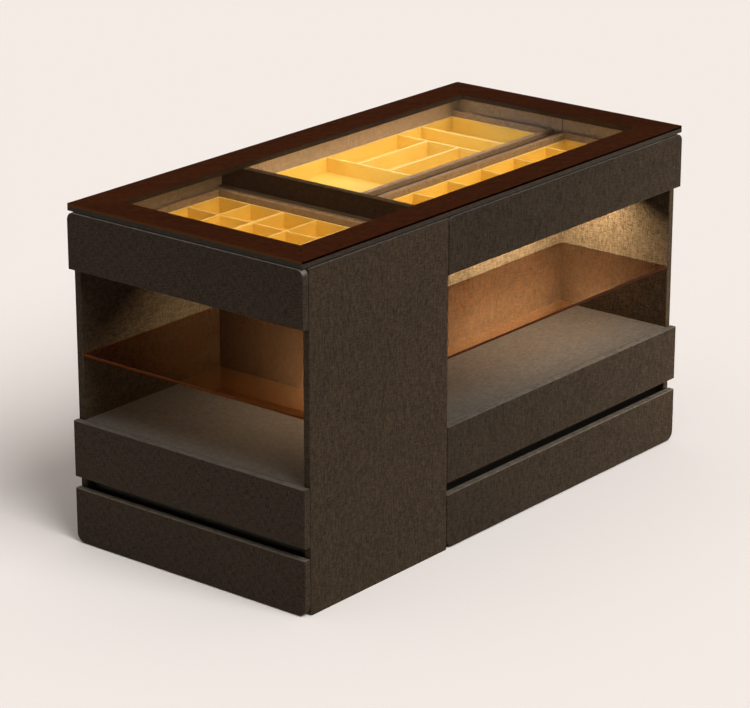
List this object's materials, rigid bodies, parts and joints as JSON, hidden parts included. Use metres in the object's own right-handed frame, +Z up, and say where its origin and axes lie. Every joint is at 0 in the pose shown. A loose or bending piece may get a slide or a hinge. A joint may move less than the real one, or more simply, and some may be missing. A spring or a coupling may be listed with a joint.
{
  "type": "closet island with drawers",
  "caption": "Free-standing closet island with a tinted glass top over divided jewellery trays, open lit niches with glass shelves, and deep drawers on three sides.",
  "frame": {"origin": "on the floor under the centre of the island", "axes": "+X along the island away from the end cabinet, +Y across it from the front cabinet to the rear one, +Z up"},
  "size_m": [1.4, 0.68, 0.8],
  "materials": {
    "glass_top": "clear brown-tinted float glass",
    "shelf_glass": "brown-tinted glass with polished edges",
    "frame_linen": "board wrapped in woven linen foil, darker on its upper face",
    "panel_linen": "board faced in dark woven linen foil",
    "front_linen": "board faced in dark woven linen foil",
    "niche_board": "board faced in pale grey linen foil",
    "drawer_board": "board faced in light linen foil",
    "tray": "soft yellow leather cloth over thin boards",
    "steel": "zinc-plated sheet steel",
    "dark_metal": "dark anodised section",
    "light_metal": "bronze anodised section",
    "diffuser": "frosted diffuser",
    "pads": "soft black rubber"
  },
  "bodies": {
    "carcass": {"glass_top": "glass_top", "top_frame": "frame_linen", "frame_pads": "pads", "end_side_near": "panel_linen", "end_side_far": "panel_linen", "end_back": "panel_linen", "end_bottom": "panel_linen", "end_niche_floor": "niche_board", "end_niche_ceiling": "panel_linen", "front_side_inner": "panel_linen", "front_side_outer": "panel_linen", "front_back": "panel_linen", "front_bottom": "panel_linen", "front_niche_floor": "niche_board", "front_niche_ceiling": "panel_linen", "rear_side_inner": "panel_linen", "rear_side_outer": "panel_linen", "rear_back": "panel_linen", "rear_bottom": "panel_linen", "rear_niche_floor": "niche_board", "rear_niche_ceiling": "panel_linen", "end_glass_shelf": "shelf_glass", "front_glass_shelf": "shelf_glass", "rear_glass_shelf": "shelf_glass", "shelf_pins": "steel", "light_bodies": "light_metal", "light_covers": "diffuser", "cabinet_rails": "steel", "finger_channels": "dark_metal", "connector_bolts": "steel"},
    "end_top_drawer": {"end_top_front": "front_linen", "end_top_box": "drawer_board", "end_top_rails": "steel", "end_tray": "tray"},
    "end_upper_drawer": {"end_upper_front": "front_linen", "end_upper_box": "drawer_board", "end_upper_rails": "steel"},
    "end_lower_drawer": {"end_lower_front": "front_linen", "end_lower_box": "drawer_board", "end_lower_rails": "steel"},
    "front_top_drawer": {"front_top_front": "front_linen", "front_top_box": "drawer_board", "front_top_rails": "steel", "front_tray": "tray"},
    "front_upper_drawer": {"front_upper_front": "front_linen", "front_upper_box": "drawer_board", "front_upper_rails": "steel"},
    "front_lower_drawer": {"front_lower_front": "front_linen", "front_lower_box": "drawer_board", "front_lower_rails": "steel"},
    "rear_top_drawer": {"rear_top_front": "front_linen", "rear_top_box": "drawer_board", "rear_top_rails": "steel", "rear_tray": "tray"},
    "rear_upper_drawer": {"rear_upper_front": "front_linen", "rear_upper_box": "drawer_board", "rear_upper_rails": "steel"},
    "rear_lower_drawer": {"rear_lower_front": "front_linen", "rear_lower_box": "drawer_board", "rear_lower_rails": "steel"}
  },
  "joints": [
    {"name": "end_top_slide", "type": "slide", "parent": "carcass", "child": "end_top_drawer", "axis": [-1, 0, 0], "range_m": [0, 0.3]},
    {"name": "end_upper_slide", "type": "slide", "parent": "carcass", "child": "end_upper_drawer", "axis": [-1, 0, 0], "range_m": [0, 0.3]},
    {"name": "end_lower_slide", "type": "slide", "parent": "carcass", "child": "end_lower_drawer", "axis": [-1, 0, 0], "range_m": [0, 0.3]},
    {"name": "front_top_slide", "type": "slide", "parent": "carcass", "child": "front_top_drawer", "axis": [0, -1, 0], "range_m": [0, 0.225]},
    {"name": "front_upper_slide", "type": "slide", "parent": "carcass", "child": "front_upper_drawer", "axis": [0, -1, 0], "range_m": [0, 0.225]},
    {"name": "front_lower_slide", "type": "slide", "parent": "carcass", "child": "front_lower_drawer", "axis": [0, -1, 0], "range_m": [0, 0.225]},
    {"name": "rear_top_slide", "type": "slide", "parent": "carcass", "child": "rear_top_drawer", "axis": [0, 1, 0], "range_m": [0, 0.225]},
    {"name": "rear_upper_slide", "type": "slide", "parent": "carcass", "child": "rear_upper_drawer", "axis": [0, 1, 0], "range_m": [0, 0.225]},
    {"name": "rear_lower_slide", "type": "slide", "parent": "carcass", "child": "rear_lower_drawer", "axis": [0, 1, 0], "range_m": [0, 0.225]}
  ]
}
